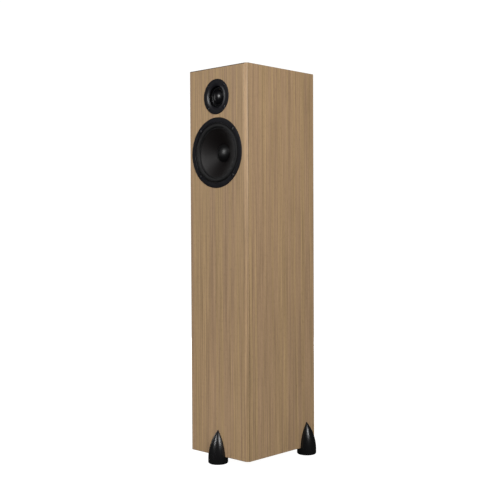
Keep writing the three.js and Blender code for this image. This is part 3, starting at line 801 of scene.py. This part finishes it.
def roll_profile(lips, roll, back, thickness, height):
    """A half-roll ring: an elliptical skin between two flat lips. lips and roll are (outer, inner) radii."""
    middle, half = (roll[0] + roll[1]) / 2, (roll[0] - roll[1]) / 2
    steps = 28
    front_skin = []
    back_skin = []
    for k in range(steps + 1):
        angle = math.pi * k / steps
        front_skin.append((middle + half * math.cos(angle), back - thickness - height * math.sin(angle)))
        inner_half = half - thickness
        back_skin.append((middle - inner_half * math.cos(angle), back - height * math.sin(angle)))
    return [
        (lips[0], back - thickness, 0.1),
        *front_skin,
        (lips[1], back - thickness, 0.1),
        (lips[1], back),
        *back_skin,
        (lips[0], back),
    ]


def flex(obj):
    """Bakes obj's placement into its mesh."""
    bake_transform(obj)


def make_surround(unit, place, profile, material):
    surround = lathe(f"{unit}_surround_roll", profile, place, smooth_angle=60)
    dress(surround, material, None, [f"{unit}_surround"])
    flex(surround)


def make_motor(unit, place, coil, plate, magnet, yoke):
    """The voice coil, which moves, and the fixed magnet system round it."""
    winding = lathe(f"{unit}_voice_coil_winding", coil, place)
    dress(winding, "copper", f"{unit}_moving", [f"{unit}_voice_coil"])
    dress(lathe(f"{unit}_top_plate_disc", plate, place), "steel", nodes=[f"{unit}_top_plate"])
    dress(lathe(f"{unit}_magnet_ring", magnet, place), "ferrite", nodes=[f"{unit}_magnet"])
    dress(lathe(f"{unit}_yoke_forging", yoke, place), "steel", nodes=[f"{unit}_yoke"])


CONE_OUTER = 59.3  # radius at the rim
CONE_INNER = 19.6  # radius at the neck
CONE_FRONT = 3.2  # depth of the rim
CONE_DEPTH = 20.8


def cone_depth(radius):
    """Depth of the cone's front skin: straight-sided near the neck and flared at the rim."""
    inward = (CONE_OUTER - radius) / (CONE_OUTER - CONE_INNER)
    return CONE_FRONT + CONE_DEPTH * inward**1.1


def make_cone():
    steps = 40
    radii = [CONE_OUTER - (CONE_OUTER - CONE_INNER) * k / steps for k in range(steps + 1)]
    front = [(r, cone_depth(r)) for r in radii]
    back = [(r, cone_depth(r) + 1) for r in reversed(radii)]
    cone = lathe("woofer_cone_shell", front + back, WOOFER)
    dress(cone, "cone_black", "woofer_moving", ["woofer_cone"])


def dome_profile(radius, base, apex, thickness):
    """A thin cap of a sphere, with its rim at the depth base and its middle at the depth apex."""
    rise = base - apex
    sphere = (radius**2 + rise**2) / (2 * rise)
    steps = 24

    def skin(reach, offset):
        points = []
        for k in range(steps + 1):
            r = reach * k / steps
            points.append((r, apex + offset + sphere - math.sqrt(sphere**2 - r**2)))
        return points

    return [*skin(radius, 0), *reversed(skin(radius - thickness, thickness))]


def make_woofer():
    make_basket()
    roll = (69.8, 59.2)
    profile = roll_profile((71.7, 57.4), roll, back=3, thickness=0.6, height=3.6)
    make_surround("woofer", WOOFER, profile, "rubber")
    ring = [(69.9, 0.6, 0.5), (71.8, 0.6, 0.4), (71.8, 2.4), (69.9, 2.4)]
    dress(lathe("woofer_trim_ring_moulding", ring, WOOFER), "rubber", nodes=["woofer_trim_ring"])
    make_cone()
    dome = dome_profile(radius=21, base=22.7, apex=14, thickness=0.8)
    cap = lathe("woofer_dust_cap_dome", dome, WOOFER, smooth_angle=60)
    dress(cap, "cap_black", "woofer_moving", ["woofer_dust_cap"])
    make_spider()
    coil = [(19, 24.4), (19.4, 24.4), (19.4, 49), (20.3, 49, 0.3), (20.3, 61, 0.3), (19, 61)]
    plate = [(21, 52), (45, 52, 0.6), (45, 58, 0.6), (21, 58)]
    magnet = [(26, 58), (50, 58, 1.5), (50, 74, 1.5), (26, 74)]
    yoke = [(6, 53, 0.5), (18.4, 53, 0.5), (18.4, 74), (45, 74, 0.6), (45, 80, 1.2), (6, 80, 2)]
    make_motor("woofer", WOOFER, coil, plate, magnet, yoke)
    make_wiring_tag()


def make_spider():
    """Cloth disc with round corrugations between the coil former and the basket's ledge."""
    inner, outer, thickness = 19.7, 48, 0.8
    middle, height, folds = 37.2, 1.8, 4
    first_fold, last_fold = 21, 44.5
    steps = 96
    front = []
    for k in range(steps + 1):
        radius = inner + (outer - inner) * k / steps
        share = min(1.0, max(0.0, (radius - first_fold) / (last_fold - first_fold)))
        edge = min(1.0, 6 * share, 6 * (1 - share))
        front.append((radius, middle + height * edge * math.sin(2 * math.pi * folds * share)))
    back = [(r, d + thickness) for r, d in reversed(front)]
    spider = lathe("woofer_spider_cloth", front + back, WOOFER, smooth_angle=60)
    dress(spider, "spider_cloth", None, ["woofer_spider"])
    flex(spider)


def make_wiring_tag():
    """The small board that the woofer's lead ends on, with two flat brass blades."""
    low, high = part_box("woofer_wiring_tag")
    tag = cuboid("woofer_wiring_tag_board", low, high, 0.3 * MM)
    dress(tag, "circuit_board", nodes=["woofer_wiring_tag"])
    spacing, half_width, thickness = 5 * MM, 2.4 * MM, 0.8 * MM
    for side, name in zip(SIDES, ("woofer_blade_left", "woofer_blade_right")):
        x = (low.x + high.x) / 2 + side * spacing
        blade_low = (x - half_width, high.y, low.z - 4 * MM)
        blade_high = (x + half_width, high.y + thickness, low.z + 7 * MM)
        dress(cuboid(name, blade_low, blade_high, 0.25 * MM), "brass")


# Tweeter: profiles in millimetres, depth measured back from the baffle's face


FLARE_OUTER = 33.5
FLARE_INNER = 25
FLARE_DEPTH = 2.3
FACEPLATE_FRONT = -0.8  # it stands proud of the baffle


def shade_throat_step(plate):
    """Painted shade: near-black, dull faces on the step round the dome, behind the flare, where that recess
    lies in shade.
    """
    plate.data.materials.append(MATERIALS["throat_shade_black"])
    for face in plate.data.polygons:
        spot = (face.center - TWEETER) / MM
        if math.hypot(spot.x, spot.z) < FLARE_INNER and 1 < spot.y < 7:
            face.material_index = 1


def make_faceplate():
    flare = []
    steps = 16
    for k in range(steps + 1):
        inward = k / steps
        radius = FLARE_OUTER - (FLARE_OUTER - FLARE_INNER) * inward
        flare.append((radius, FACEPLATE_FRONT + FLARE_DEPTH * inward**2))
    profile = [
        *flare,
        (24.4, 6.2, 0.3),
        (22.8, 6.2, 0.3),
        (22.8, 8),
        (32.4, 8),
        (32.4, 3.2),
        (41.5, 3.2),
        (41.5, FACEPLATE_FRONT, 0.6),
    ]
    plate = lathe("tweeter_faceplate_flare", profile, TWEETER)
    screws = [f"tweeter_screw_{k}" for k in range(1, 5)]
    carve(plate, screw_bores(screws, head=3.0, seat=1.0, shank=1.8))
    dress(plate, "driver_black", nodes=["tweeter_faceplate"])
    shade_throat_step(plate)
    for node in screws:
        socket_screw(f"{node}_cap", node, 2.6, 1.6, 1.5, 15, 1.25)


def make_tweeter():
    make_faceplate()
    roll = (21.4, 17.6)
    profile = roll_profile((22.5, 17.3), roll, back=8, thickness=0.5, height=1.6)
    make_surround("tweeter", TWEETER, profile, "gloss_black")
    dome = dome_profile(radius=17.2, base=7.3, apex=0.2, thickness=0.5)
    cap = lathe("tweeter_dome_cap", dome, TWEETER, smooth_angle=60)
    dress(cap, "gloss_black", "tweeter_moving", ["tweeter_dome"])
    coil = [(16.4, 7.9), (16.7, 7.9), (16.7, 9.2), (17.3, 9.2, 0.2), (17.3, 12.4, 0.2), (16.4, 12.4)]
    plate = [(18.2, 8), (32, 8, 0.4), (32, 11, 0.4), (18.2, 11)]
    magnet = [(21, 11), (32, 11, 0.8), (32, 21, 0.8), (21, 21)]
    yoke = [(5, 9, 0.4), (15.8, 9, 0.4), (15.8, 21), (32, 21, 0.5), (32, 25, 0.5), (5, 25)]
    make_motor("tweeter", TWEETER, coil, plate, magnet, yoke)
    chamber = [(0, 45), (31, 45, 3), (31, 25), (29, 25), (29, 43, 2), (0, 43)]
    cup = lathe("tweeter_rear_chamber_cup", chamber, TWEETER)
    dress(cup, "driver_black", nodes=["tweeter_rear_chamber"])


# Port and terminals: profiles in millimetres, depth measured out from the rear face


def make_port():
    """A long tube that flares out to a rounded lip at the rear face."""
    mouth, bore, flare, lip = 34, 25, 10, 0.6
    steps = 20
    curve = []
    for k in range(steps + 1):
        angle = math.pi * (1 - k / (2 * steps))
        curve.append((mouth + (mouth - bore) * math.cos(angle), -flare + (flare + lip) * math.sin(angle)))
    profile = [(bore, -120, 0.5), *curve, (38, lip, 0.4), (38, -4), (29, -4), (29, -120, 1)]
    dress(lathe("port_tube_flared", profile, PORT), "driver_black", nodes=["port_tube"])


def post_holes(face_y):
    """Cutters for the two binding posts' clearance holes through a thin plate at the depth face_y."""
    places = [axis_place(f"{pole}_post_stud", face_y) for pole in POLES]
    return [turned_cut("post_hole", 3.3, -5, 5, place) for place in places]


def make_terminal_plate():
    outline = plate_outline(PLATE_WIDTH)
    plate = prism("terminal_plate_moulding", outline, REAR_Y - 2 * MM, REAR_Y + MM, 0.4 * MM)
    carve(plate, post_holes(REAR_Y))
    dress(plate, "driver_black", nodes=["terminal_plate"])


def make_knob(pole, material):
    """A knob with flutes round its grip, a wide bore at the back and a plug hole in its end."""
    place = axis_place(f"{pole}_post_knob", REAR_Y)
    radius = 9
    grip = [
        (3.5, 6.5, 0.2),
        (radius, 6.5, 0.5),
        (radius, 22, 0.2),
        (8, 23, 0.3),
        (2.1, 23, 0.3),
        (2.1, 20.2),
        (3.5, 20.2),
    ]
    knob = lathe(f"{pole}_knob_grip", grip, place, 96)
    flutes = 18
    flute = [(0, 9), (0.75, 9, 0.3), (0.75, 24), (0, 24)]
    reach = (radius + 0.35) * MM
    cutters = []
    for k in range(flutes):
        angle = 2 * math.pi * k / flutes
        spot = place + Vector((reach * math.cos(angle), 0, reach * math.sin(angle)))
        cutters.append(lathe("flute", flute, spot, 16))
    carve(knob, cutters)
    dress(knob, material, f"{pole}_knob", [f"{pole}_post_knob"])


def make_post(pole, knob_material):
    """A binding post: its knob, its threaded stud with a hole for bare wire, and its captive washer."""
    make_knob(pole, knob_material)
    place = axis_place(f"{pole}_post_stud", REAR_Y)
    stud = [
        (0, -28),
        (3, -28, 0.5),
        (3, 1),
        (8, 1),
        (8, 4.5, 0.6),
        (3, 4.5),
        (3, 19, 0.6),
        (0, 19),
    ]
    post = lathe(f"{pole}_post_stud_turned", stud, place, SMALL_ROUND)
    wire_place = place + Vector((0, 6.1 * MM, 0))
    carve(post, [turned_cut("wire_hole", 1.2, -10, 10, wire_place, 24, upright=True)])
    dress(post, "brass", nodes=[f"{pole}_post_stud"])
    washer = [(3.5, 4.7, 0.2), (8, 4.7, 0.3), (8, 6.3, 0.3), (3.5, 6.3, 0.2)]
    captive = lathe(f"{pole}_post_washer_turned", washer, place, SMALL_ROUND)
    dress(captive, "brass", f"{pole}_washer", [f"{pole}_post_washer"])


def make_plate_screws():
    """Four low-headed cross-head screws at the corners of the terminal plate."""
    reach = 38 * MM
    arm_length, arm_width = 1.7 * MM, 0.35 * MM
    head = [(0, 1.9), (2, 1.7, 0.3), (3.2, 1.05, 0.1), (3.2, 0.95), (1.4, 0.95), (1.4, 0.5), (0, 0.5)]
    for k, (sx, sz) in enumerate(((-1, -1), (1, -1), (1, 1), (-1, 1)), 1):
        spot = TERMINALS + Vector((sx * reach, 0, sz * reach))
        screw = lathe(f"terminal_plate_screw_{k}", head, spot, SMALL_ROUND)
        arms = []
        for x, z in ((arm_length, arm_width), (arm_width, arm_length)):
            low, high = Vector((-x, 1.2 * MM, -z)), Vector((x, 3 * MM, z))
            arms.append(cuboid("arm", spot + low, spot + high))
        carve(screw, arms)
        dress(screw, "black_steel")


# Crossover, cables, braces and damping


def make_board():
    low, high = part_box("crossover_board")
    board = cuboid("crossover_board_laminate", low, high, 0.3 * MM)
    carve(board, post_holes(low.y))
    dress(board, "circuit_board", nodes=["crossover_board"])


def make_inductor(name, inner):
    """An air-cored coil that stands on the board, inner mm in radius inside."""
    low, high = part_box(name)
    outer = (high.x - low.x) / 2 / MM
    length = (high.y - low.y) / MM
    profile = [(inner, 0, 1), (outer, 0, 1.2), (outer, length, 1.2), (inner, length, 1)]
    coil = lathe(f"{name}_winding", profile, axis_place(name, low.y))
    dress(coil, "copper", nodes=[name])


def make_capacitor(name):
    """A sleeved can that lies along X, with its two ends sunk a little inside their rims."""
    low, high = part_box(name)
    radius = (high.y - low.y) / 2 / MM
    length = (high.x - low.x) / MM
    sunk, rim = 0.8, 1.2
    profile = [
        (0, sunk),
        (radius - rim, sunk, 0.3),
        (radius, 0, 0.8),
        (radius, length, 0.8),
        (radius - rim, length - sunk, 0.3),
        (0, length - sunk),
    ]
    can = lathe(f"{name}_can", profile, ORIGIN, 64)
    can.data.transform(Matrix.Rotation(-math.pi / 2, 4, "Z"))
    middle = (low + high) / 2
    can.data.transform(Matrix.Translation(Vector((low.x, middle.y, middle.z))))
    dress(can, "capacitor", nodes=[name])


def make_crossover():
    make_board()
    make_inductor("woofer_inductor", 8)
    make_inductor("tweeter_inductor", 6)
    make_capacitor("woofer_capacitor")
    make_capacitor("tweeter_capacitor")
    case = cuboid("tweeter_resistor_case", *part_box("tweeter_resistor"), 0.8 * MM, 3)
    dress(case, "ceramic", nodes=["tweeter_resistor"])


def make_wadding(name, side):
    """A bonded fibre pad: a slab with soft rounded rims and an uneven, lumpy front."""
    low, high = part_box(name)
    rng = random.Random(side + 5)
    columns, rows = 44, 66
    crown = 1.2 * MM
    bm = bmesh.new()
    wall_x = high.x if side > 0 else low.x
    depth = high.x - low.x
    bumps = [(rng.random(), rng.random(), rng.uniform(0.05, 0.12)) for _ in range(40)]

    def thickness(u, v):
        rim = min(u, 1 - u, v, 1 - v) * 2
        edge = 1 - (1 - min(1.0, rim / 0.12)) ** 3
        lumps = sum(math.exp(-((u - a) ** 2 + (v - b) ** 2) / s**2) for a, b, s in bumps)
        return depth * (0.35 + 0.5 * edge) + crown * min(1.0, lumps * 0.6) * edge

    def sheet(offset):
        grid = []
        for v in range(rows + 1):
            z = low.z + (high.z - low.z) * v / rows
            line = []
            for u in range(columns + 1):
                x = wall_x - side * offset(u / columns, v / rows)
                y = low.y + (high.y - low.y) * u / columns
                line.append(bm.verts.new((x, y, z)))
            grid.append(line)
        return grid

    face, back = sheet(thickness), sheet(lambda u, v: 0.0)
    for grid in (face, back):
        for v in range(rows):
            for u in range(columns):
                bm.faces.new([grid[v][u], grid[v][u + 1], grid[v + 1][u + 1], grid[v + 1][u]])
    rim = [(0, u) for u in range(columns)] + [(v, columns) for v in range(rows)]
    rim += [(rows, u) for u in range(columns, 0, -1)] + [(v, 0) for v in range(rows, 0, -1)]
    for k, (v, u) in enumerate(rim):
        next_v, next_u = rim[(k + 1) % len(rim)]
        bm.faces.new([face[v][u], face[next_v][next_u], back[next_v][next_u], back[v][u]])
    pad = object_from(bm, f"{name}_fibre", 60)
    dress(pad, "wadding", nodes=[name])


def make_inner_fittings():
    """The crossover and the pads, and the looks of the braces and cables, which keep their CAD shapes."""
    make_crossover()
    make_wadding("left_damping_pad", -1)
    make_wadding("right_damping_pad", 1)
    for name in ("lower_brace", "upper_brace"):
        paint(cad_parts[name], "plywood")
    for name in ("woofer_cable", "tweeter_cable"):
        paint(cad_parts[name], "cable")


# Camera, lights and floor


CAMERA_LENS = 65.76
CAMERA_BEARING = math.radians(43.64)  # from the cabinet's lower front right corner
CAMERA_DISTANCE = 2.0936
CAMERA_HEIGHT = 0.5432  # above the same corner
CAMERA_HEADING = math.radians(43.44)
CAMERA_TILT = math.radians(1.436)
CAMERA_ROLL = math.radians(-0.266)


def make_camera():
    """A long lens in front and to the right, a little above the cabinet's middle."""
    camera = bpy.data.objects.new("camera", bpy.data.cameras.new("camera"))
    bpy.context.scene.collection.objects.link(camera)
    bpy.context.scene.camera = camera
    camera.data.sensor_width = 36
    camera.data.lens = CAMERA_LENS
    across = math.sin(CAMERA_BEARING) * CAMERA_DISTANCE
    back = math.cos(CAMERA_BEARING) * CAMERA_DISTANCE
    location = Vector((HALF + across, FRONT_Y - back, LOW + CAMERA_HEIGHT))
    turn = Matrix.Rotation(CAMERA_HEADING, 4, "Z") @ Matrix.Rotation(math.pi / 2 - CAMERA_TILT, 4, "X")
    camera.matrix_world = Matrix.Translation(location) @ turn @ Matrix.Rotation(CAMERA_ROLL, 4, "Z")


def softbox(name, azimuth, height, distance, width, length, power, aim=0.5):
    """A rectangular lamp aimed at the speaker's axis. Azimuth 0 is straight in front, 90 on the +X side."""
    lamp = bpy.data.lights.new(name, "AREA")
    lamp.shape = "RECTANGLE"
    lamp.size, lamp.size_y = width, length
    lamp.energy = power
    holder = bpy.data.objects.new(name, lamp)
    bpy.context.scene.collection.objects.link(holder)
    angle = math.radians(azimuth)
    holder.location = (math.sin(angle) * distance, -math.cos(angle) * distance, height)
    look = Vector((0, 0, aim)) - holder.location
    holder.rotation_mode = "QUATERNION"
    holder.rotation_quaternion = look.to_track_quat("-Z", "Y")
    holder.visible_camera = False
    return holder


BACKDROP = 1.05
AMBIENT = 0.32
REFLECTED_AMBIENT = 0.03
FLOOR_GLOW = 0.98


def make_world():
    """White behind the speaker, a weak even light on it, and dark reflections, as with black flags."""
    world = bpy.data.worlds.new("studio")
    bpy.context.scene.world = world
    world.use_nodes = True
    tree = world.node_tree
    background = tree.nodes["Background"]
    background.inputs["Color"].default_value = (1, 1, 1, 1)
    path = tree.nodes.new("ShaderNodeLightPath")

    def choose(output, on, off):
        node = tree.nodes.new("ShaderNodeMapRange")
        tree.links.new(path.outputs[output], node.inputs["Value"])
        for socket, value in (("To Max", on), ("To Min", off)):
            if isinstance(value, float):
                node.inputs[socket].default_value = value
            else:
                tree.links.new(value, node.inputs[socket])
        return node.outputs[0]

    lit = choose("Is Glossy Ray", REFLECTED_AMBIENT, AMBIENT)
    tree.links.new(choose("Is Camera Ray", BACKDROP, lit), background.inputs["Strength"])


def make_floor():
    """A pale floor that glows, as an under-lit table does, so that it meets the backdrop."""
    bm = bmesh.new()
    bmesh.ops.create_circle(bm, cap_ends=True, segments=64, radius=40)
    floor = object_from(bm, "studio_floor")
    s = Shader("studio_floor_paint", (0.2, 0.2, 0.2), 0.9, specular=0.0)
    mottle = s.noise((3, 3, 3), detail=3.0)
    s.colour(s.ramp(mottle, [(0.3, 0.2), (0.7, 0.22)]))
    s.set("Emission Color", (1, 1, 1, 1))
    s.set("Emission Strength", FLOOR_GLOW)
    floor.data.materials.append(s.material)
    floor.visible_glossy = False
    floor.visible_diffuse = False


def bounce_card(name, azimuth, power):
    """A low weak strip close to the feet that only fills their shadows."""
    card = softbox(name, azimuth, 0.03, 0.5, width=0.5, length=0.06, power=power, aim=0.08)
    card.visible_glossy = False


def make_studio():
    bpy.context.scene.view_settings.view_transform = "Standard"
    make_camera()
    make_world()
    make_floor()
    softbox("front_softbox", -10, height=1.35, distance=2.2, width=0.45, length=0.8, power=21)
    softbox("side_softbox", 74, height=1.5, distance=2.1, width=0.7, length=0.9, power=31)
    softbox("left_softbox", -80, height=1.0, distance=2.2, width=0.8, length=1.2, power=5)
    softbox("high_softbox", 47, height=2.1, distance=2.3, width=0.9, length=0.9, power=5)
    bounce_card("front_bounce_card", -8, power=0.26)
    bounce_card("side_bounce_card", 90, power=0.14)
    softbox("rear_softbox", 217, height=0.5, distance=2.4, width=1.0, length=0.8, power=30)


make_studio()
make_baffle()
make_side("left_side_panel", -1)
make_side("right_side_panel", 1)
make_end("bottom_panel", LOW, LOW + BOARD)
make_end("top_panel", HIGH, HIGH - BOARD)
make_rear_panel()
make_feet()
make_woofer()
make_tweeter()
make_port()
make_terminal_plate()
make_post("negative", "driver_black")
make_post("positive", "red_plastic")
make_plate_screws()
make_inner_fittings()
